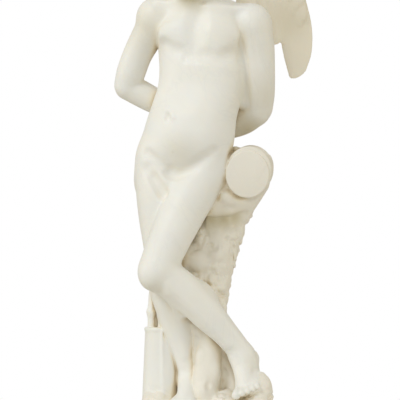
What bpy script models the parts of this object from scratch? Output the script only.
"""A marble statue of Cupid leaning on a tree stump, carved from one block on a low oval base.

The figure is laid out in shares of its own height (about a centimetre each), measured from the top of
the base, with +Z up and the viewer on the -Y side. The base follows its own sizes in metres.
"""
import math
import random

import bmesh
import bpy
import numpy as np
import openvdb

# Sizes in metres.
FIGURE_HEIGHT = 1.300         # top of the base to the crown of the head
PLINTH_WIDTH = 0.42
PLINTH_DEPTH = 0.36
PLINTH_HEIGHT = 0.05
PLINTH_EDGE = 0.006           # rounding of the base's rims
TRUNK_RADIUS = 0.062
STUB_RADIUS = 0.060           # sawn branch stub that faces the viewer
STUB_REACH = 0.134
QUIVER_HEIGHT = 0.240
QUIVER_RADIUS = 0.042
BOULDER_RADIUS = 0.041        # rock under the crossed foot's toes
CLAY_STEP = 0.0055            # lattice on which the stone is worked
TRIANGLES = 9700
HEIGHT_IN_SHARES = 130.0
SEED = 11

SHARE = FIGURE_HEIGHT / HEIGHT_IN_SHARES
FAR = 9.0

HEAD = (-6.0, -4.2, 118.2)
GAZE = (-0.34, -0.84, -0.42)


def shares(metres):
    return metres / SHARE


def unit(v):
    v = np.asarray(v, float)
    return v / np.linalg.norm(v)


def axes_of(forward, up):
    """Forward, side and up as unit rows; with -Y forward and +Z up, side is -X."""
    f = unit(forward)
    s = unit(np.cross(f, up))
    return np.array([f, s, unit(np.cross(s, f))])


def placed(origin, axes):
    """A function that turns local rows, with or without a radius, into the figure's own."""
    origin = np.asarray(origin, float)

    def to(rows):
        rows = np.atleast_2d(np.asarray(rows, float))
        out = np.hstack([origin + rows[:, :3] @ axes, rows[:, 3:]])
        return out[0] if len(out) == 1 else out
    return to


def soft_min(a, b, k):
    if np.isscalar(k) and k <= 0:
        return np.minimum(a, b)
    h = np.clip(0.5 + 0.5 * (b - a) / k, 0, 1)
    return b + (a - b) * h - k * h * (1 - h)


def smooth_path(points, per_span):
    """A curve through rows of (x, y, z, radius)."""
    p = np.asarray(points, float)
    if len(p) < 3:
        return p
    p = np.vstack([2 * p[0] - p[1], p, 2 * p[-1] - p[-2]])
    rows = []
    for i in range(1, len(p) - 2):
        a, b, c, d = p[i - 1:i + 3]
        for t in np.linspace(0, 1, per_span, endpoint=False):
            rows.append(0.5 * (2 * b + (c - a) * t + (2 * a - 5 * b + 4 * c - d) * t ** 2
                               + (3 * b - a - 3 * c + d) * t ** 3))
    rows.append(p[-2])
    return np.array(rows)


class Egg:
    """An ellipsoid; axes holds its three directions as rows."""

    def __init__(self, centre, radii, axes=None):
        self.c = np.asarray(centre, float)
        self.r = np.asarray(radii if np.ndim(radii) else (radii,) * 3, float)
        self.m = np.eye(3) if axes is None else np.asarray(axes, float)
        reach = np.sqrt(((self.m * self.r[:, None]) ** 2).sum(0))
        self.low, self.high = self.c - reach, self.c + reach

    def sample(self, clay, margin):
        window, x, y, z = clay.window(self.low - margin, self.high + margin)
        x, y, z = x - self.c[0], y - self.c[1], z - self.c[2]
        near = far = 0.0
        for row, r in zip(self.m, self.r):
            u = (row[0] * x + row[1] * y + row[2] * z) / r
            near = near + u * u
            far = far + (u / r) ** 2
        near, far = np.sqrt(near), np.sqrt(far)
        return window, near * (near - 1) / np.maximum(far, 1e-6)


class Limb:
    """A rod of changing radius along a smooth curve; flat = (direction, ratio) thins it that way."""

    def __init__(self, points, flat=None, per_span=6):
        self.p = smooth_path(points, per_span)
        self.flat = None if flat is None else (unit(flat[0]), flat[1])
        r = self.p[:, 3:].max() + 0.01
        self.low, self.high = self.p[:, :3].min(0) - r, self.p[:, :3].max(0) + r

    def sample(self, clay, margin):
        window, *_ = clay.window(self.low - margin, self.high + margin)
        out = np.full([s.stop - s.start for s in window], FAR, np.float32)
        for a, b in zip(self.p[:-1], self.p[1:]):
            r = max(a[3], b[3]) + margin
            part, x, y, z = clay.window(np.minimum(a[:3], b[:3]) - r, np.maximum(a[:3], b[:3]) + r)
            if any(s.stop <= s.start for s in part):
                continue
            d = b[:3] - a[:3]
            x, y, z = x - a[0], y - a[1], z - a[2]
            t = np.clip((x * d[0] + y * d[1] + z * d[2]) / max(d @ d, 1e-9), 0, 1)
            x, y, z = x - t * d[0], y - t * d[1], z - t * d[2]
            square = x * x + y * y + z * z
            if self.flat is not None:
                n, ratio = self.flat
                across = x * n[0] + y * n[1] + z * n[2]
                square = square + (1 / ratio ** 2 - 1) * across * across
            dist = np.sqrt(square) - (a[3] + t * (b[3] - a[3]))
            inner = tuple(slice(s.start - o.start, s.stop - o.start) for s, o in zip(part, window))
            out[inner] = np.minimum(out[inner], dist)
        return window, out


class Barrel:
    """A straight round body with flat ends; oval = (direction, ratio) narrows it that way."""

    def __init__(self, a, b, ra, rb, edge=0.3, oval=None):
        self.a, self.b = np.asarray(a, float), np.asarray(b, float)
        self.ra, self.rb, self.edge, self.oval = ra, rb, edge, oval
        r = max(ra, rb) * 1.1
        self.low, self.high = np.minimum(self.a, self.b) - r, np.maximum(self.a, self.b) + r

    def sample(self, clay, margin):
        window, x, y, z = clay.window(self.low - margin, self.high + margin)
        d = self.b - self.a
        length = np.linalg.norm(d)
        n = d / length
        x, y, z = x - self.a[0], y - self.a[1], z - self.a[2]
        h = x * n[0] + y * n[1] + z * n[2]
        x, y, z = x - h * n[0], y - h * n[1], z - h * n[2]
        square = x * x + y * y + z * z
        if self.oval is not None:
            o, ratio = unit(self.oval[0]), self.oval[1]
            square = square + (1 / ratio ** 2 - 1) * (x * o[0] + y * o[1] + z * o[2]) ** 2
        u = np.sqrt(square) - self.ra - np.clip(h / length, 0, 1) * (self.rb - self.ra) + self.edge
        v = np.abs(h - length / 2) - length / 2 + self.edge
        rim = np.sqrt(np.maximum(u, 0) ** 2 + np.maximum(v, 0) ** 2)
        return window, np.minimum(np.maximum(u, v), 0) + rim - self.edge


class Loft:
    """Rounded sections by height: z, centre x, centre y, half width, front, back, turn in degrees."""

    def __init__(self, rows, power=2.2):
        self.rows = np.asarray(sorted(rows), float)
        self.power = power
        r = self.rows
        reach = r[:, 3:6].max()
        self.low = np.array([(r[:, 1] - reach).min(), (r[:, 2] - reach).min(), r[0, 0]])
        self.high = np.array([(r[:, 1] + reach).max(), (r[:, 2] + reach).max(), r[-1, 0]])

    def at(self, z):
        zs = self.rows[:, 0]
        i = np.clip(np.searchsorted(zs, z) - 1, 0, len(zs) - 2)
        h = zs[i + 1] - zs[i]
        t = np.clip((z - zs[i]) / h, 0, 1)
        for v in self.rows[:, 1:].T:
            m = np.gradient(v, zs)
            yield ((2 * t ** 3 - 3 * t ** 2 + 1) * v[i] + (t ** 3 - 2 * t ** 2 + t) * h * m[i]
                   + (3 * t ** 2 - 2 * t ** 3) * v[i + 1] + (t ** 3 - t ** 2) * h * m[i + 1]
                   ).astype(np.float32)

    def sample(self, clay, margin):
        window, x, y, z = clay.window(self.low - margin, self.high + margin)
        cx, cy, half, front, back, turn = self.at(z)
        s, c = np.sin(np.radians(turn)), np.cos(np.radians(turn))
        x, y = x - cx, y - cy
        side = x * c - y * s
        aft = x * s + y * c
        n = self.power
        norm = (np.abs(side / half) ** n + np.abs(aft / np.where(aft < 0, front, back)) ** n) ** (1 / n)
        rho = np.sqrt(side * side + aft * aft)
        d = rho - rho / np.maximum(norm, 1e-4)
        return window, np.maximum(d, np.maximum(z - self.rows[-1, 0], self.rows[0, 0] - z))


class Clay:
    """A lattice of distances to the stone's surface, negative inside it; axes holds its x, y and z."""

    def __init__(self, axes):
        self.axes = [np.asarray(a, np.float32) for a in axes]
        self.step = max(float(np.diff(a).max()) for a in self.axes)
        self.field = np.full([len(a) for a in self.axes], FAR, np.float32)

    def window(self, low, high):
        """The lattice's slices over a box, and their x, y and z as arrays that spread over it."""
        parts = tuple(slice(max(0, np.searchsorted(a, lo) - 1), min(len(a), np.searchsorted(a, hi) + 1))
                      for a, lo, hi in zip(self.axes, low, high))
        x, y, z = (a[part] for a, part in zip(self.axes, parts))
        return parts, x[:, None, None], y[None, :, None], z[None, None, :]

    def add(self, form, blend=0.0, near=None):
        """near = (point, reach, far blend): the blend changes to the far one away from the point."""
        widest = max(blend, near[2]) if near else blend
        margin = widest + 2 * self.step
        window, d = form.sample(self, margin)
        k = blend
        if near:
            _, x, y, z = self.window(form.low - margin, form.high + margin)
            p, reach, far = near
            t = np.clip(np.sqrt((x - p[0]) ** 2 + (y - p[1]) ** 2 + (z - p[2]) ** 2) / reach, 0, 1)
            k = blend + (far - blend) * t * t * (3 - 2 * t)
        self.field[window] = soft_min(self.field[window], d, k)

    def cut(self, form, blend=0.0):
        window, d = form.sample(self, blend + 2 * self.step)
        self.field[window] = -soft_min(-self.field[window], d, blend)

    def rough(self, low, high, grain, rise, seed):
        """Lumps within a box, with sharp valleys between them; grain is their size along x, y and z."""
        window, *axes = self.window(low, high)
        shape = []
        weights = []
        for axis, size in zip(axes, grain):
            at = (axis.ravel() - axis.min()) / size
            count = int(at.max()) + 3
            left = at.astype(int)
            t = at - left
            t = t * t * (3 - 2 * t)
            w = np.zeros((len(at), count), np.float32)
            w[np.arange(len(at)), left] = 1 - t
            w[np.arange(len(at)), left + 1] = t
            shape.append(count)
            weights.append(w)
        random_rows = np.random.default_rng(seed).uniform(-1, 1, shape).astype(np.float32)
        noise = np.einsum("ai,bj,ck,ijk->abc", *weights, random_rows, optimize=True)
        self.field[window] += rise * (0.5 - 2 * np.abs(noise))

    def join(self, other, blend=0.0):
        self.field = soft_min(self.field, other.field, blend)

    def beside(self):
        """An empty lattice of the same extent."""
        return Clay(self.axes)

    def skin(self, x, z, sign=1):
        """The y where a line at x, z first meets the stone, from the front or (sign -1) the back."""
        xs, ys, zs = self.axes
        i, k = np.interp(x, xs, np.arange(len(xs))), np.interp(z, zs, np.arange(len(zs)))
        i0, k0 = int(i), int(k)
        fi, fk = i - i0, k - k0
        f = self.field
        line = ((1 - fi) * ((1 - fk) * f[i0, :, k0] + fk * f[i0, :, k0 + 1])
                + fi * ((1 - fk) * f[i0 + 1, :, k0] + fk * f[i0 + 1, :, k0 + 1]))
        if sign < 0:
            line, ys = line[::-1], ys[::-1]
        inside = np.nonzero(line < 0)[0]
        if not len(inside) or inside[0] == 0:
            return 0.0
        j = inside[0]
        return float(ys[j - 1] + (ys[j] - ys[j - 1]) * line[j - 1] / (line[j - 1] - line[j]))

    def traced(self, rows, rise, sign):
        return [(x, self.skin(x, z, sign) + sign * (r - rise), z, r) for x, z, r in rows]

    def ridge(self, rows, rise, blend, sign=1):
        """A soft ridge drawn on the skin through rows of x, z, radius."""
        self.add(Limb(self.traced(rows, rise, sign)), blend)

    def groove(self, rows, deep, blend, sign=1):
        rows = [(x, self.skin(x, z, sign) - sign * (r - deep), z, r) for x, z, r in rows]
        self.cut(Limb(rows), blend)

    def swell(self, x, z, width, height, rise, blend, sign=1, thick=2.0):
        y = self.skin(x, z, sign) + sign * (thick - rise)
        self.add(Egg((x, y, z), (width, thick, height)), blend)

    def dimple(self, x, z, width, height, deep, blend, sign=1, thick=1.5):
        y = self.skin(x, z, sign) - sign * (thick - deep)
        self.cut(Egg((x, y, z), (width, thick, height)), blend)


def section(z, left, right, middle, front, back, turn):
    """One row of a Loft from the outline seen from the front and a turn about the upright."""
    half, a = (right - left) / 2, math.radians(turn)
    deep = (front + back) / 2 * math.sin(a)
    return z, (left + right) / 2, middle, math.sqrt(half ** 2 - deep ** 2) / math.cos(a), front, back, turn


def model_torso(clay):
    clay.add(Loft([section(*row) for row in (
        (107.5, -7.2, 0.2, 1.6, 3.0, 3.2, 16), (104.5, -12.2, 6.4, 1.3, 4.8, 6.0, 17),
        (101.0, -12.6, 7.9, 1.0, 6.0, 7.0, 18), (96.0, -12.3, 7.9, 0.6, 6.7, 7.4, 18),
        (92.0, -12.0, 8.5, 0.3, 6.9, 7.1, 19), (88.5, -11.8, 8.8, 0.0, 6.9, 6.5, 21),
        (84.7, -12.1, 8.8, 0.0, 7.0, 6.1, 23), (81.0, -13.2, 8.4, 0.0, 7.5, 6.0, 25),
        (76.0, -14.8, 7.3, 0.0, 8.1, 6.2, 25), (72.0, -15.9, 6.9, 0.1, 7.7, 6.8, 22),
        (68.0, -16.7, 6.2, 0.2, 6.2, 7.6, 19), (64.0, -17.3, 5.4, 0.5, 4.3, 8.2, 17),
        (60.0, -17.7, 4.4, 0.9, 3.2, 8.2, 16), (56.0, -15.9, 2.2, 1.6, 2.2, 6.8, 16))]))
    # shoulders
    clay.add(Limb([(-3.4, 2.6, 108.5, 4.0), (-8.6, 3.4, 104.9, 3.0), (-12.6, 3.6, 102.6, 3.8)]), 2.0)
    clay.add(Limb([(-3.2, 2.6, 108.0, 4.0), (4.6, 2.0, 103.6, 3.0), (10.8, 0.2, 100.6, 3.8)]), 2.0)
    clay.add(Egg((-13.0, 3.2, 101.4), (4.8, 4.9, 5.2)), 2.2)
    clay.add(Egg((11.4, -0.4, 99.6), (4.9, 4.7, 5.2)), 2.2)
    # stone left standing between the left arm and the side
    clay.add(Limb([(9.0, 2.4, 97, 2.6), (9.8, 1.9, 89, 2.5), (9.6, 2.6, 81, 2.3)]), 1.6)
    # chest, without hard edges
    clay.swell(-7.2, 97.0, 4.8, 3.6, 0.25, 2.4)
    clay.swell(2.6, 96.6, 4.8, 3.6, 0.25, 2.4)


def carve_torso(clay):
    # collar bones, breastbone, shadow under the chest, rib arch
    clay.ridge([(-4.4, 104.4, 0.9), (-8.0, 104.8, 0.9), (-12.0, 105.2, 1.0)], 0.14, 1.1)
    clay.ridge([(-1.4, 103.9, 0.9), (3.4, 103.5, 0.9), (8.6, 103.3, 1.0)], 0.14, 1.1)
    clay.dimple(-2.8, 105.8, 2.6, 1.5, 0.7, 1.4)
    clay.groove([(-2.8, 102.5, 2.2), (-3.2, 98, 2.2), (-3.9, 92.5, 2.0), (-4.6, 88, 1.8)], 0.02, 2.4)
    clay.groove([(-11.0, 94.4, 1.7), (-9.0, 93.2, 1.7), (-6.9, 92.8, 1.5)], 0.26, 1.4)
    clay.groove([(-1.2, 91.8, 1.6), (2.4, 91.0, 1.8), (5.6, 91.8, 1.7)], 0.3, 1.4)
    clay.dimple(-5.5, 91.4, 1.2, 1.5, 0.2, 0.9)
    clay.ridge([(-4.8, 88.8, 1.2), (-8.2, 86.4, 1.3), (-10.2, 83.4, 1.2)], 0.05, 1.6)
    clay.ridge([(-3.2, 88.6, 1.2), (1.6, 85.9, 1.3), (4.8, 82.4, 1.2)], 0.06, 1.6)
    # middle line of the belly, navel with the fold beside it
    clay.groove([(-5.1, 86, 1.6), (-6.6, 82.5, 1.6), (-8.3, 79.8, 1.4)], 0.02, 1.8)
    clay.swell(-6.4, 73.6, 7.0, 5.0, 0.1, 3.0, thick=3.0)
    clay.dimple(-9.8, 76.4, 0.7, 1.0, 0.75, 0.4, thick=1.2)
    clay.ridge([(-10.0, 77.9, 0.5), (-9.0, 77.5, 0.5), (-8.6, 76.2, 0.45)], 0.14, 0.4)


def model_legs(clay):
    standing = [(-10.9, 2.0, 66, 6.6), (-11.0, 1.6, 59, 6.8), (-11.0, 1.1, 52, 6.1), (-10.9, 0.7, 44.5, 5.0),
                (-10.9, 0.4, 38.6, 4.4), (-10.2, 0.9, 33.0, 4.0), (-8.3, 1.9, 27.5, 4.1),
                (-6.7, 2.3, 22.0, 3.75),
                (-5.6, 2.4, 17.2, 3.1), (-4.9, 2.3, 13.6, 2.75), (-4.6, 2.3, 11.2, 2.8)]
    clay.add(Limb(standing, per_span=12), 3.0)
    clay.add(Egg((-10.9, -1.6, 37.6), (3.2, 2.8, 3.4)), 1.4)
    clay.add(Egg((-8.6, 4.3, 27.0), (3.4, 2.6, 6.4)), 2.0)
    crossing = [(0.4, -0.4, 65, 5.6), (-2.0, -1.9, 60.4, 5.8), (-5.4, -4.0, 54.4, 5.75),
                (-8.2, -5.9, 48.6, 5.35), (-10.5, -7.4, 43.4, 4.95), (-11.9, -8.3, 39.6, 4.8)]
    clay.add(Limb(crossing, per_span=12), 3.2, near=((1.0, 0.0, 66.0), 12.0, 0.7))
    clay.add(Egg((-0.6, -2.2, 63.4), (5.4, 4.2, 5.0)), 2.6)
    shin = [(-12.0, -8.3, 38.4, 4.75), (-8.8, -7.6, 36.0, 4.6), (-4.9, -6.9, 32.9, 4.45),
            (0.2, -5.9, 27.7, 4.0),
            (4.2, -4.9, 23.4, 3.3), (7.1, -4.2, 19.9, 3.05), (8.8, -3.9, 17.2, 3.3)]
    clay.add(Limb(shin, per_span=12), 0.9)
    clay.add(Egg((-13.2, -9.7, 37.6), (3.3, 3.3, 3.6)), 1.6)
    clay.add(Egg((-1.4, -3.6, 32.6), (5.0, 3.0, 3.2), axes_of((1, 0.1, -0.9), (0, 1, 0))), 2.0)
    clay.add(Egg((11.0, -4.2, 15.6), (1.5, 1.6, 2.0)), 1.0)
    clay.add(Limb([(-9.6, -3.6, 37.0, 2.2), (-7.6, -3.2, 32.6, 2.6), (-5.4, -2.2, 28.8, 2.0)]), 1.0)
    # shin bones
    clay.ridge([(-9.4, 33.6, 0.9), (-7.0, 26.0, 0.9), (-5.4, 17.5, 0.8)], 0.12, 1.4)
    clay.ridge([(-9.4, 35.2, 0.9), (-1.0, 27.0, 0.9), (5.0, 20.6, 0.8)], 0.1, 1.4)


def carve_folds(clay):
    """The folds where the belly meets the thighs, and the one between the thighs."""
    clay.groove([(-14.6, 68.4, 1.0), (-12.2, 65.2, 1.2), (-9.2, 63.2, 1.2)], 0.36, 1.4)
    clay.groove([(-9.4, 63.2, 1.1), (-6.6, 63.0, 1.1), (-3.4, 64.9, 1.1), (1.0, 67.8, 1.0), (2.6, 70.0, 0.9)],
                0.36, 1.4)
    clay.groove([(-14.2, 62.6, 0.6), (-12.4, 59.0, 0.8), (-10.8, 55.8, 0.6)], 0.38, 0.9)


def model_foot(clay, ankle, forward, up, inner, bend=0.0, scale=1.0):
    """A bare foot; inner is +1 where the big toe is on its axes' side direction, -1 where opposite, and
    bend turns the toes up at the ball, in degrees."""
    m = axes_of(forward, up)
    to = placed(ankle, m * np.array([[1], [inner], [1]]) * scale)

    def limb(rows, blend, flat=None):
        p = to(rows)
        p[:, 3] *= scale
        clay.add(Limb(p, flat), blend)

    limb([(-3.9, 0, -3.7, 2.3), (-2.6, 0, -2.0, 2.4), (0, 0, 0.4, 2.65)], 1.0)
    clay.add(Egg(to((-3.9, 0, -4.1)), np.array((2.7, 2.35, 2.3)) * scale, m), 1.0)
    limb([(-0.6, 0.0, 0.2, 2.75), (2.4, 0.3, -1.7, 2.7), (5.6, 0.4, -3.3, 2.3), (8.2, 0.2, -4.5, 1.7)], 1.2)
    limb([(-3.6, -0.8, -4.6, 1.7), (1.4, -1.5, -4.9, 1.45), (5.6, -2.0, -4.9, 1.45),
          (8.0, -2.0, -5.1, 1.3)], 1.2)
    limb([(-3.6, 0.5, -4.6, 1.7), (5.0, 1.7, -4.3, 1.4), (8.4, 2.1, -4.9, 1.45)], 1.2)
    clay.add(Egg(to((7.9, 0.0, -4.9)), np.array((2.6, 3.6, 1.4)) * scale, m), 0.8)
    c, s = math.cos(math.radians(bend)), math.sin(math.radians(bend))
    for across, long, r in ((2.3, 5.3, 1.15), (0.75, 5.0, 0.82), (-0.6, 4.3, 0.78), (-1.8, 3.4, 0.74),
                            (-2.9, 2.4, 0.7)):
        rows = [(0, 0.95, 0, 1.05), (0.5 * long + 0.2, 1, 0.25, 0.9), (long - r, 1.03, -0.3, 1)]
        limb([(8.0 + x * c - z * s, across * wide, -4.95 + x * s + z * c, r * thick) for x, wide, z,
              thick in rows],
             0.25)
    clay.add(Egg(to((-0.3, 2.3, 0.3)), np.array((1.3, 0.9, 1.4)) * scale, m), 0.8)
    clay.add(Egg(to((-0.8, -2.3, -0.2)), np.array((1.3, 0.9, 1.4)) * scale, m), 0.8)


def model_arms(clay):
    clay.add(Limb([(-12.9, 3.2, 101.6, 4.0), (-14.9, 3.9, 97.6, 4.0), (-17.5, 5.0, 92.8, 3.7),
                   (-19.2, 6.0, 88.4, 3.65), (-20.2, 6.8, 85.2, 3.3)]), 0)
    clay.add(Limb([(-19.9, 7.0, 84.6, 3.25), (-17.0, 7.6, 83.2, 3.4), (-13.6, 8.2, 81.4, 3.25),
                   (-9.6, 8.6, 79.6, 2.7), (-6.2, 8.8, 78.2, 2.15)]), 0.5)
    clay.add(Egg((-20.6, 7.8, 84.2), 2.2), 0.8)
    clay.add(Limb([(11.2, -0.4, 99.8, 4.4), (12.5, -0.4, 95.2, 4.25), (12.95, 0.2, 89.0, 4.05),
                   (13.0, 1.2, 83.0, 4.0), (12.8, 2.2, 79.6, 3.8)]), 0)
    clay.add(Limb([(12.4, 2.8, 78.7, 3.8), (9.3, 4.9, 76.1, 3.5), (5.4, 7.0, 74.6, 3.05),
                   (1.2, 8.6, 74.1, 2.35)]), 0.5)
    clay.add(Egg((13.2, 4.6, 77.4), 2.3), 0.9)


def model_hands(clay):
    """Behind the back the right hand holds the left wrist, and the left hand hangs open."""
    clay.add(Egg((-3.0, 9.4, 77.6), (3.4, 1.7, 2.5), axes_of((1, 0.12, -0.25), (0, 0, 1))), 0.9)
    for k in range(4):
        x = -1.7 + 1.05 * k
        clay.add(Limb([(x - 1.2, 10.2, 78.3 - 0.2 * k, 0.85), (x + 0.3, 11.3, 76.6, 0.82),
                       (x + 0.8, 11.2, 74.4, 0.78), (x + 0.7, 10.0, 72.8 - 0.15 * k, 0.72)]), 0.25)
    clay.add(Limb([(-4.4, 10.0, 76.6, 0.95), (-3.4, 10.6, 75.0, 0.85), (-2.2, 10.8, 73.6, 0.75)]), 0.3)
    clay.add(Limb([(1.4, 8.6, 74.2, 2.3), (-2.2, 9.0, 73.4, 2.0), (-4.2, 9.2, 72.8, 2.1)]), 0.5)
    clay.add(Egg((-6.0, 9.4, 72.2), (3.0, 1.5, 2.3), axes_of((-1, 0.05, -0.3), (0, 0, 1))), 0.9)
    for k, (longer, droop) in enumerate(((0.0, 0.2), (0.7, 0.6), (0.3, 1.0), (-0.8, 1.5))):
        z = 73.6 - 1.3 * k
        clay.add(Limb([(-6.8, 9.5, z, 0.8), (-9.4 - longer * 0.5, 10.1, z - 0.6 - 0.3 * droop, 0.76),
                       (-11.2 - longer, 10.0 - 0.25 * k, z - 1.2 - droop, 0.66)]), 0.08)
    clay.add(Limb([(-4.8, 10.2, 71.6, 0.95), (-6.2, 10.8, 69.8, 0.85), (-7.6, 10.6, 68.8, 0.75)]), 0.3)


def model_back(clay):
    clay.groove([(-3.0, 104, 1.6), (-2.4, 96, 1.5), (-1.2, 86, 1.6), (-2.6, 77, 1.5), (-4.4, 69, 1.3)],
                0.6, 1.6, -1)
    clay.swell(-8.2, 97.5, 4.0, 5.2, 0.7, 2.0, -1)
    clay.swell(4.0, 96.5, 4.0, 5.2, 0.7, 2.0, -1)


def model_head(clay):
    clay.add(Limb([(-3.2, 1.8, 101, 5.0), (-3.9, 1.2, 106.0, 4.5), (-4.8, -0.4, 110.5, 4.4),
                   (-5.6, -2.6, 115, 4.8)]), 2.0)
    clay.add(Limb([(-2.4, -3.0, 104.8, 0.7), (-1.4, -2.0, 108.8, 0.9), (-1.5, -0.6, 112.2, 1.1)]), 1.2)
    clay.add(Limb([(-4.0, -3.0, 104.8, 0.7), (-7.0, -2.0, 108.8, 0.9), (-8.7, -0.6, 112.2, 1.1)]), 1.2)
    m = axes_of(GAZE, (0.06, -0.3, 1))
    to = placed(HEAD, m)

    def egg(centre, radii, blend, carve=False):
        form = Egg(to(centre), radii, m)
        if carve:
            clay.cut(form, blend)
        else:
            clay.add(form, blend)

    def limb(rows, blend, carve=False):
        (clay.cut if carve else clay.add)(Limb(to(rows)), blend)

    egg((-1.4, 0, 2.6), (8.6, 6.9, 7.2), 1.0)
    egg((2.2, 0, -1.2), (6.0, 5.5, 7.0), 1.6)
    egg((2.6, 0, -4.8), (4.7, 4.3, 3.4), 1.6)
    egg((5.6, 0, -7.2), (1.7, 1.8, 1.4), 1.6)
    for side in (-1, 1):
        # cheek, eye socket, eyeball, brow
        egg((4.9, 3.0 * side, -2.7), (2.3, 2.0, 2.3), 1.8)
        egg((8.1, 2.7 * side, -0.1), (1.35, 1.7, 1.05), 0.8, True)
        limb([(7.5, 0.8 * side, 1.25, 0.42), (7.3, 2.6 * side, 1.75, 0.42), (5.9, 4.5 * side, 1.0, 0.4)], 1.2)
        egg((5.75, 2.7 * side, -0.25), (1.45, 1.45, 1.35), 0.15)
        # upper lid, lowered, and lower lid
        egg((5.8, 2.7 * side, 0.3), (1.5, 1.6, 1.05), 0.25)
        limb([(6.75, 1.3 * side, -0.35, 0.16), (7.28, 2.1 * side, -0.42, 0.19),
              (7.32, 3.0 * side, -0.48, 0.2),
              (6.35, 4.2 * side, -0.35, 0.16)], 0.12)
        limb([(6.75, 1.4 * side, -0.6, 0.14), (7.05, 2.2 * side, -1.15, 0.2), (6.95, 3.1 * side, -1.15, 0.2),
              (6.2, 4.1 * side, -0.5, 0.16)], 0.3)
        # wing of the nose, nostril, ear
        egg((8.35, 0.85 * side, -3.15), (0.75, 0.5, 0.55), 0.45)
        egg((8.75, 0.45 * side, -3.55), (0.4, 0.22, 0.2), 0.15, True)
        ear = [(0.0, 5.9, -2.5, 0.45), (-1.0, 6.5, -1.0, 0.4), (-1.7, 7.1, 0.8, 0.42), (-1.0, 7.3, 1.9, 0.42),
               (0.2, 7.0, 1.5, 0.4), (0.5, 6.6, 0.3, 0.35)]
        egg((-0.6, 6.5 * side, -0.1), (1.2, 0.5, 1.9), 0.4)
        limb([(x, y * side, z, r) for x, y, z, r in ear], 0.25)
        egg((0.1, 6.2 * side, -2.2), (0.6, 0.45, 0.8), 0.3)
        egg((-0.2, 7.1 * side, 0.2), (0.6, 0.5, 1.0), 0.2, True)
    # nose, lips, the groove above them
    limb([(7.5, 0, 1.3, 0.6), (8.2, 0, -0.6, 0.6), (8.95, 0, -2.5, 0.62), (8.95, 0, -3.0, 0.68)], 0.8)
    limb([(8.2, 0, -3.75, 0.16), (7.95, 0, -4.3, 0.18)], 0.35, True)
    limb([(7.15, -1.75, -4.95, 0.14), (7.8, -0.75, -4.62, 0.3), (7.9, 0, -4.72, 0.26),
          (7.8, 0.75, -4.62, 0.3),
          (7.15, 1.75, -4.95, 0.14)], 0.35)
    limb([(7.1, -1.5, -5.2, 0.18), (7.6, -0.6, -5.5, 0.36), (7.65, 0, -5.5, 0.36), (7.6, 0.6, -5.5, 0.36),
          (7.1, 1.5, -5.2, 0.18)], 0.35)
    limb([(7.3, -1.85, -5.0, 0.1), (8.15, -0.7, -5.02, 0.09), (8.25, 0, -5.1, 0.09), (8.15, 0.7, -5.02, 0.09),
          (7.3, 1.85, -5.0, 0.1)], 0.12, True)
    egg((7.3, 0, -6.35), (0.6, 1.3, 0.4), 0.5, True)
    return m, to


def model_hair(clay, m, to, rng):
    """Short curls in rings from the crown down, each a hook of three strands lying on the skull."""
    centre = np.array((-1.9, 0, 2.8))
    radii = np.array((8.7, 7.3, 7.5))
    clay.add(Egg(to(centre), radii, m), 0.4)
    clay.add(Egg(to((-5.4, 0, -1.2)), (4.2, 5.3, 4.4), m), 0.8)
    for ring in range(11):
        lean = math.radians(5 + 13.6 * ring)
        around = max(1, round(2 * math.pi * math.sin(lean) * 8.0 / 2.9))
        for k in range(around):
            turn = 2 * math.pi * (k + 0.5 * (ring % 2)) / around + rng.uniform(-0.08, 0.08)
            d = np.array((math.sin(lean) * math.cos(turn), math.sin(lean) * math.sin(turn), math.cos(lean)))
            start = rng.uniform(0, 2 * math.pi)
            way = rng.choice((-1, 1))
            size = rng.uniform(0.95, 1.25)
            face = d[0] > 0.25 and d[2] < 0.36 - 0.3 * abs(d[1])
            ear = d[0] > -0.16 and d[2] < 0.05
            if face or ear or ring > 7 and d[0] > -0.35:
                continue
            n = unit(d / radii)
            a = unit(np.cross(n, (0.2, 0.1, 1.0)) + 0.001)
            b = np.cross(n, a)
            for strand in (-1, 0, 1):
                rows = []
                for j in range(7):
                    t = j / 6
                    angle = start + way * 5.4 * t
                    away = (1.25 - 0.95 * t + 0.42 * strand * (1 - 0.7 * t)) * size
                    p = centre + d * radii + (a * math.cos(angle) + b * math.sin(angle)) * away
                    p = p - n * (0.1 * away ** 2 + 0.12 * abs(strand) - 0.1 - 0.55 * t)
                    rows.append((*p, (0.42 - 0.1 * t) * size))
                clay.add(Limb(to(rows), per_span=2), 0.06)


def feathers():
    """Each feather of a wing: four points down its shaft, outward and down, its half width and its lift."""
    for k in range(7):
        t = k / 6
        yield ((14.6 + 4.8 * t, -15.5 + 2.4 * t), (16.4 + 5.7 * t, -4.0 + t), (17.7 + 4.8 * t, 3.8),
               (19.0 + 2.8 * t, 10.2 - 1.5 * t * t), 1.7, 0.0)
    for k in range(6):
        t = k / 5
        yield ((4.2 + 9.2 * t, -6.5 - 8.5 * t), (5.8 + 8.2 * t, -3.0 - 2.0 * t),
               (6.6 + 7.2 * t, 1.4 - 0.8 * t),
               (7.2 + 6.2 * t, 6.0 - 5.0 * t * t), 1.75, 0.15)
    for row, drop in enumerate((8.0, 5.0, 2.6)):
        for k in range(8):
            t = (k + 0.5 * (row % 2)) / 7.5
            x, z = 3.8 + 16.2 * t, -6.2 - 11.4 * math.sin(math.pi * min(1, 0.12 + 0.70 * t)) + 2.2 * t
            yield ((x, z), (x + 0.4, z + drop * 0.5), (x + 0.7, z + drop), (x + 0.9, z + drop + 1.0),
                   1.4, 0.5 + 0.3 * row)


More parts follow.
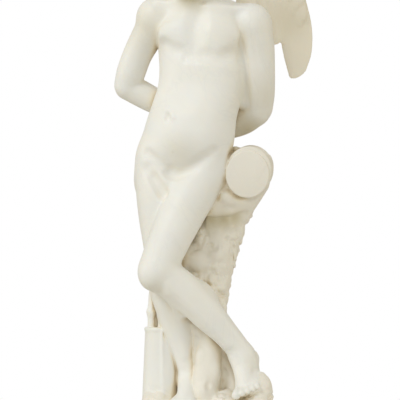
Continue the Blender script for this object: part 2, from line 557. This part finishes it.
def model_wing(clay, root, out, down, reach=1.0):
    """A folded wing: a bent leading edge with layers of feathers lapped like tiles falling from it."""
    o = unit(out)
    n = unit(np.cross(o, down))
    d = unit(np.cross(n, o))
    to = placed(root, np.array((o * reach, d, n)))
    clay.add(Limb(to([(-1.5, 1.5, 0, 2.4), (3.5, -5.5, 0, 2.2), (8.0, -12.6, 0, 2.0), (12.0, -17.6, 0, 1.9),
                      (15.6, -18.0, 0, 1.8), (18.8, -14.6, 0, 1.5), (20.6, -9.0, 0, 1.2)]), (n, 0.75)), 0.6)
    for x, z, w, h in ((7.0, -4.5, 5.2, 7.0), (12.6, -9.0, 6.0, 9.0), (17.2, -7.0, 5.0, 10.0)):
        clay.add(Egg(to((x, z, 0)), (w * reach, h, 0.9), np.array((o, d, n))), 0.3)
    lean = math.radians(13)
    face = n * math.cos(lean) + o * math.sin(lean)
    for a, b, c, e, r, lift in feathers():
        for side in ((1, -1) if lift > 0.3 else (0,)):
            z = side * lift
            clay.add(Limb(to([(*a, z * 0.5, r * 0.7), (*b, z, r), (*c, z, r), (*e, z, r * 0.62)]),
                          (face, 0.36), 4), 0.05)


def model_trunk(clay, rng):
    r = shares(TRUNK_RADIUS) / 6.2
    clay.add(Limb([(0.9, 4.8, -2, 7.2 * r), (0.8, 4.8, 6, 6.6 * r), (0.2, 4.7, 16, 6.0 * r),
                   (-0.5, 4.6, 27, 5.7 * r), (0.3, 4.8, 36, 6.0 * r), (1.7, 5.1, 44, 6.0 * r),
                   (3.8, 5.6, 51, 6.1 * r),
                   (6.6, 6.2, 57, 6.3 * r), (8.6, 6.6, 62.0, 5.8 * r)]), 0)
    # bark in swelling lumps, a big one under the cloth, knots and hollows
    clay.rough((-12, -6, -2), (18, 16, 64), (3.3, 3.3, 3.8), 0.62, rng.randrange(1000))
    clay.rough((-12, -6, -2), (18, 16, 64), (1.5, 1.5, 1.8), 0.3, rng.randrange(1000))
    clay.rough((-12, -6, -2), (18, 16, 64), (0.8, 0.8, 1.1), 0.14, rng.randrange(1000))
    for x, z, w, h, rise in ((3.0, 46.2, 2.7, 3.0, 0.8), (5.6, 49.6, 1.6, 1.3, 0.5),
                             (2.4, 42.0, 1.9, 1.5, 0.5),
                             (-1.8, 40.6, 2.9, 2.8, 0.9), (3.4, 34.0, 1.5, 1.2, 0.6)):
        clay.swell(x, z, w, h, rise, 0.6, 1, 1.6)
    for x, z, w, h in ((0.6, 44.6, 1.1, 1.0), (5.2, 46.4, 0.9, 0.9), (1.4, 38.2, 1.1, 0.9),
                       (4.4, 32.0, 1.3, 0.7)):
        clay.dimple(x, z, w, h, 0.7, 0.4)
    clay.add(Egg((-4.4, 3.2, 41.0), (3.4, 3.4, 4.6)), 1.0)
    # root towards the rock, and the smoother lump that shows between the legs
    clay.add(Limb([(3.2, 4.4, 22, 2.6), (5.2, 3.2, 14.0, 2.9), (7.2, 0.8, 5.6, 3.6)]), 1.0)
    clay.add(Limb([(0.9, 0.4, 20.8, 2.8), (0.4, -0.9, 15.8, 3.2), (-0.4, -1.6, 10.0, 3.5),
                   (-0.8, -2.2, 4.0, 4.6)]), 0.8)
    clay.swell(1.9, 13.0, 1.6, 3.2, 0.5, 0.8)
    clay.swell(-1.3, 16.6, 1.5, 2.6, 0.35, 0.8)
    clay.swell(-1.0, 8.4, 1.7, 2.2, 0.4, 0.8)
    clay.dimple(0.4, 10.4, 0.8, 1.4, 0.35, 0.6)


def model_stub(clay):
    r = shares(STUB_RADIUS)
    face = np.array((9.95, -6.0, 62.3))
    out = unit((-0.08, -1.0, -0.06))
    back = face - out * shares(STUB_REACH)
    oval = ((1, 0, 0), 0.93)
    bark = np.array((0.25, 0, 0.75))
    clay.add(Barrel(back + bark, face + bark - out * 0.5, r * 1.02, r * 1.02, 0.5, oval), 1.2)
    clay.cut(Barrel(face - out * 0.6, face + out * 2, r * 1.01, r * 1.01, 0.1, oval), 0.1)
    clay.add(Barrel(back, face, r * 0.9, r * 0.97, 0.25, oval), 0.1)
    clay.add(Limb([(13.2, -0.6, 59.8, 0.38 * r), (11.2, 1.4, 57.0, 0.42 * r),
                   (8.4, 3.6, 53.0, 0.45 * r)]), 0.8)


def model_cloth(clay):
    """Drapery behind the hips, drawn over the stump; its hem shows between thigh and stub."""
    # the part in view: a smooth web from the thigh, its hem, and the fold that crosses it
    clay.add(Limb([(-2.6, 1.4, 56.0, 3.6), (0.4, 0.9, 55.2, 3.3), (3.8, 0.8, 54.8, 3.1),
                   (7.2, 1.6, 55.4, 2.7),
                   (10.0, 3.0, 57.0, 2.4)]), 1.2)
    clay.add(Limb([(3.0, 2.0, 69.0, 2.2), (3.6, 1.4, 64.0, 2.6), (3.8, 1.0, 59.4, 2.8)]), 1.6)
    clay.add(Limb([(2.4, -1.2, 58.6, 1.3), (4.4, -2.0, 57.2, 1.8), (6.6, -1.6, 55.8, 1.5),
                   (9.2, 0.4, 55.6, 1.2)]), 1.3)
    clay.add(Limb([(-1.6, -0.6, 53.2, 1.0), (2.4, -1.4, 52.9, 1.1), (6.2, -0.9, 53.4, 1.1),
                   (9.4, 1.2, 55.0, 1.0)]), 0.8)
    clay.add(Egg((5.2, -0.6, 60.4), (1.8, 2.2, 2.6)), 1.2)
    # rolled top edge round the back of the hips
    clay.add(Limb([(-15.2, 3.6, 66.8, 1.2), (-11.4, 7.6, 68.6, 1.6), (-4.6, 9.0, 69.0, 1.8),
                   (2.0, 8.4, 68.4, 1.7),
                   (6.8, 6.4, 67.4, 1.7), (11.4, 5.4, 66.2, 1.6)]), 0.8)
    # folds that fall from it and draw together down the back of the trunk
    for k in range(9):
        t = k / 8
        x = -14.8 + 22.0 * t
        round_back = math.sqrt(max(0.0, 1 - ((x + 4.4) / 12.8) ** 2))
        low_x = -7.6 + 12.6 * t
        low_y = 4.9 + math.sqrt(max(4.0, 34 - (low_x - 0.2) ** 2))
        low = (51, 44, 38, 31, 26, 23, 26, 30, 37)[k]
        sway = 0.7 * math.sin(2.4 * k)
        clay.add(Limb([(x, 0.4 + 7.2 * round_back, 67.8, 1.5),
                       (x * 0.96 + sway, 1.0 + 8.8 * round_back, 61.0, 2.0),
                       (0.55 * x + 0.45 * low_x - sway, 2.4 + 3.4 * round_back + 0.45 * low_y, 52.5, 1.75),
                       (low_x, low_y, 0.45 * 52 + 0.55 * low, 1.35),
                       (low_x * 0.96, low_y - 0.2, low, 1.1)]), 0.7)
    # and over the top of the stump
    for k in range(4):
        x = 6.6 + 2.7 * k
        clay.add(Limb([(x + 0.6, 1.8 + 0.5 * k, 68.4 - 0.22 * k * k, 1.0),
                       (x + 0.3, 8.0, 67.2 - 0.9 * k, 1.5),
                       (min(x - 0.6, 12.4), 11.2 - 0.7 * k, 61.0, 1.6),
                       (x * 0.5 + 0.3, 11.2 - 0.5 * k, 51.0, 1.5),
                       (x * 0.36, 10.4 - 0.3 * k, (33, 37, 40, 43)[k], 1.1)]), 0.8)
    # undercut below the hem
    clay.cut(Limb([(-1.6, -1.2, 50.8, 1.0), (2.6, -1.7, 50.2, 1.3), (6.4, -1.3, 50.7, 1.2),
                   (9.8, 0.6, 52.2, 1.0)]), 0.6)
    # fold between hip and stub
    clay.dimple(1.5, 59.6, 1.3, 3.2, 0.6, 1.2, thick=2.0)


def model_quiver(clay):
    r = shares(QUIVER_RADIUS)
    top = shares(QUIVER_HEIGHT)
    clay.add(Barrel((-11.6, 4.6, -1), (-11.9, 4.6, top), r * 1.2, r * 0.87, 0.3), 0)
    clay.add(Barrel((-11.9, 4.6, top - 1.1), (-11.9, 4.6, top - 0.1), r * 0.93, r * 0.93, 0.35), 0.2)
    # seam down the front, laced at the side
    clay.add(Limb([(-10.9, 4.6 - r * 1.06, 5, 0.45), (-11.1, 4.6 - r, 14, 0.42),
                   (-11.3, 4.8 - r * 0.92, top - 1, 0.4)]), 0.3)
    # feathered ends of the arrows, with the knob of their nocks
    for dx, dy, h in ((-2.1, -0.8, 4.2), (0.5, -1.8, 3.6), (1.7, 0.6, 4.4), (-0.4, 1.4, 3.9)):
        x, y = -11.9 + dx, 4.6 + dy
        clay.add(Limb([(x, y, top - 1, 1.0), (x, y, top + h - 2.0, 0.95), (x, y, top + h - 0.4, 1.3)]), 0.3)
        clay.add(Limb([(x, y, top + h, 0.95), (x + 0.2, y, top + h + 3.6, 0.9),
                       (x + 0.3, y, top + h + 6.4, 0.7)]), 0.3)


def model_ground(clay, rng):
    wide, deep, tall = shares(PLINTH_WIDTH), shares(PLINTH_DEPTH), shares(PLINTH_HEIGHT)
    edge = shares(PLINTH_EDGE)
    clay.add(Barrel((0, 0, -tall - 4), (0, 0, 0), wide / 2, wide / 2, edge, ((0, 1, 0), deep / wide)), 0)
    mound = clay.beside()
    mound.add(Egg((-3.0, 1.0, 0), (0.40 * wide, 0.38 * deep, 4.2)), 0)
    mound.add(Egg((-5.0, -5.6, 0.6), (6.4, 8.4, 3.7)), 1.5)
    mound.add(Egg((-11.8, 2.2, 1.6), (5.0, 6.0, 7.2)), 1.5)
    mound.add(Egg((4.6, -2.6, 1.0), (6.2, 6.4, 7.6)), 1.5)
    # rock under the crossed foot
    b = shares(BOULDER_RADIUS)
    mound.add(Egg((13.3, -5.2, 13.0 - b), (0.74 * b, 0.95 * b, b)), 0.5)
    mound.add(Egg((12.4, -6.6, 4.4), (4.0, 5.6, 5.2), axes_of((1, 0.1, 0.2), (0, 0, 1))), 1.2)
    mound.add(Egg((8.4, -7.6, 2.2), (4.6, 5.6, 4.9)), 1.0)
    mound.add(Egg((10.6, -9.4, 1.2), (5.6, 4.8, 4.2), axes_of((1, 0.3, 0.1), (0, 0, 1))), 1.0)
    for k in range(34):
        turn = rng.uniform(0, 2 * math.pi)
        out = rng.uniform(0.35, 0.84)
        x, y = 0.42 * wide * out * math.cos(turn), 0.42 * deep * out * math.sin(turn)
        stone = axes_of((rng.uniform(-1, 1), rng.uniform(-1, 1), rng.uniform(-0.4, 0.4)), (0, 0, 1))
        mound.add(Egg((x, y, rng.uniform(-0.3, 0.6)), (rng.uniform(1.6, 3.4), rng.uniform(1.4, 2.8),
                                                       rng.uniform(0.9, 1.9)), stone), 0.4)
    mound.rough((-20, -17, 0.4), (20, 17, 13.5), (4.2, 4.2, 3.4), 0.55, rng.randrange(1000))
    mound.rough((-20, -17, 0.4), (20, 17, 13.5), (1.7, 1.7, 1.4), 0.22, rng.randrange(1000))
    clay.join(mound, 0.6)


def lattice(low, high, step):
    return np.arange(low, high + step, step)


def model_statue(axes):
    rng = random.Random(SEED)
    body = Clay(axes)
    model_torso(body)
    model_legs(body)
    carve_torso(body)
    carve_folds(body)
    model_back(body)
    m, to = model_head(body)
    model_hair(body, m, to, rng)
    model_foot(body, (-4.6, 2.2, 11.0), (-0.16, -1, -0.03), (0, 0, 1), -1)
    model_foot(body, (8.5, -3.9, 17.4), (-0.06, -0.84, -0.52), (-0.43, -0.46, 0.78), 1, 30, 0.95)
    arms = body.beside()
    model_arms(arms)
    model_hands(arms)
    body.join(arms, 0.7)
    wings = body.beside()
    model_wing(wings, (5.0, 6.0, 98.5), (0.92, 0.40, 0.0), (0.0, 0.08, -1))
    model_wing(wings, (-6.6, 8.2, 99.5), (-0.18, 0.98, 0.0), (0.0, 0.08, -1), 0.86)
    body.join(wings, 0.5)
    prop = body.beside()
    model_trunk(prop, rng)
    model_stub(prop)
    model_cloth(prop)
    body.join(prop, 0.3)
    quiver = body.beside()
    model_quiver(quiver)
    body.join(quiver, 0.25)
    ground = body.beside()
    model_ground(ground, rng)
    body.join(ground, 0.35)
    return body


def extent():
    """Lowest and highest x, y and z that the stone can reach, in shares."""
    wide = max(29, shares(PLINTH_WIDTH) / 2 + 2)
    deep = max(26, shares(PLINTH_DEPTH) / 2 + 2)
    return (2 - wide, wide), (4 - deep, deep), (-shares(PLINTH_HEIGHT) - 3, 136)


def surface(clay):
    """Points in shares and four-sided faces of the stone's surface."""
    grid = openvdb.FloatGrid(FAR)
    grid.copyFromArray(clay.field)
    points, _, quads = grid.convertToPolygons(isovalue=0.0, adaptivity=0.0)
    points = [np.interp(points[:, i], np.arange(len(a)), a) for i, a in enumerate(clay.axes)]
    return np.stack(points, axis=1), quads


def mesh_of(name, points, quads):
    mesh = bpy.data.meshes.new(name)
    mesh.vertices.add(len(points))
    mesh.vertices.foreach_set("co", points.astype(np.float32).ravel())
    mesh.loops.add(quads.size)
    mesh.loops.foreach_set("vertex_index", quads.astype(np.int32).ravel())
    mesh.polygons.add(len(quads))
    mesh.polygons.foreach_set("loop_start", np.arange(0, quads.size, 4, dtype=np.int32))
    mesh.update()
    return mesh


def keep_largest(work):
    """Drops loose crumbs and sealed hollows."""
    left = set(work.verts)
    largest = set()
    while left:
        seed = left.pop()
        found = {seed}
        edge = [seed]
        while edge:
            vert = edge.pop()
            for link in vert.link_edges:
                other = link.other_vert(vert)
                if other in left:
                    left.remove(other)
                    found.add(other)
                    edge.append(other)
        if len(found) > len(largest):
            largest = found
    bmesh.ops.delete(work, geom=[v for v in work.verts if v not in largest], context="VERTS")


def flatten_underside(mesh, level):
    work = bmesh.new()
    work.from_mesh(mesh)
    keep_largest(work)
    cut = bmesh.ops.bisect_plane(work, geom=work.verts[:] + work.edges[:] + work.faces[:], dist=1e-6,
                                 plane_co=(0, 0, level), plane_no=(0, 0, 1), clear_inner=True)
    rim = [e for e in cut["geom_cut"] if isinstance(e, bmesh.types.BMEdge)]
    bmesh.ops.contextual_create(work, geom=rim)
    bmesh.ops.triangulate(work, faces=work.faces[:])
    bmesh.ops.recalc_face_normals(work, faces=work.faces[:])
    work.to_mesh(mesh)
    work.free()


def marble():
    material = bpy.data.materials.new("marble")
    material.use_nodes = True
    shader = material.node_tree.nodes["Principled BSDF"]
    shader.inputs["Base Color"].default_value = (0.86, 0.84, 0.78, 1)
    shader.inputs["Roughness"].default_value = 0.5
    return material


def main():
    for obj in list(bpy.data.objects):
        bpy.data.objects.remove(obj)
    clay = model_statue([lattice(low, high, shares(CLAY_STEP)) for low, high in extent()])
    points, quads = surface(clay)
    points = points * SHARE + np.array((0, 0, PLINTH_HEIGHT))
    mesh = mesh_of("cupid_statue", points, quads)
    statue = bpy.data.objects.new("cupid_statue", mesh)
    group = bpy.data.collections.new("cupid_statue")
    bpy.context.scene.collection.children.link(group)
    group.objects.link(statue)
    thin = statue.modifiers.new("thin", "DECIMATE")
    thin.ratio = TRIANGLES / (2 * len(quads))
    graph = bpy.context.evaluated_depsgraph_get()
    small = bpy.data.meshes.new_from_object(statue.evaluated_get(graph))
    statue.modifiers.clear()
    statue.data = small
    small.name = "cupid_statue"
    bpy.data.meshes.remove(mesh)
    flatten_underside(small, 0.0)
    small.materials.clear()
    small.materials.append(marble())


if __name__ == "__main__":
    main()
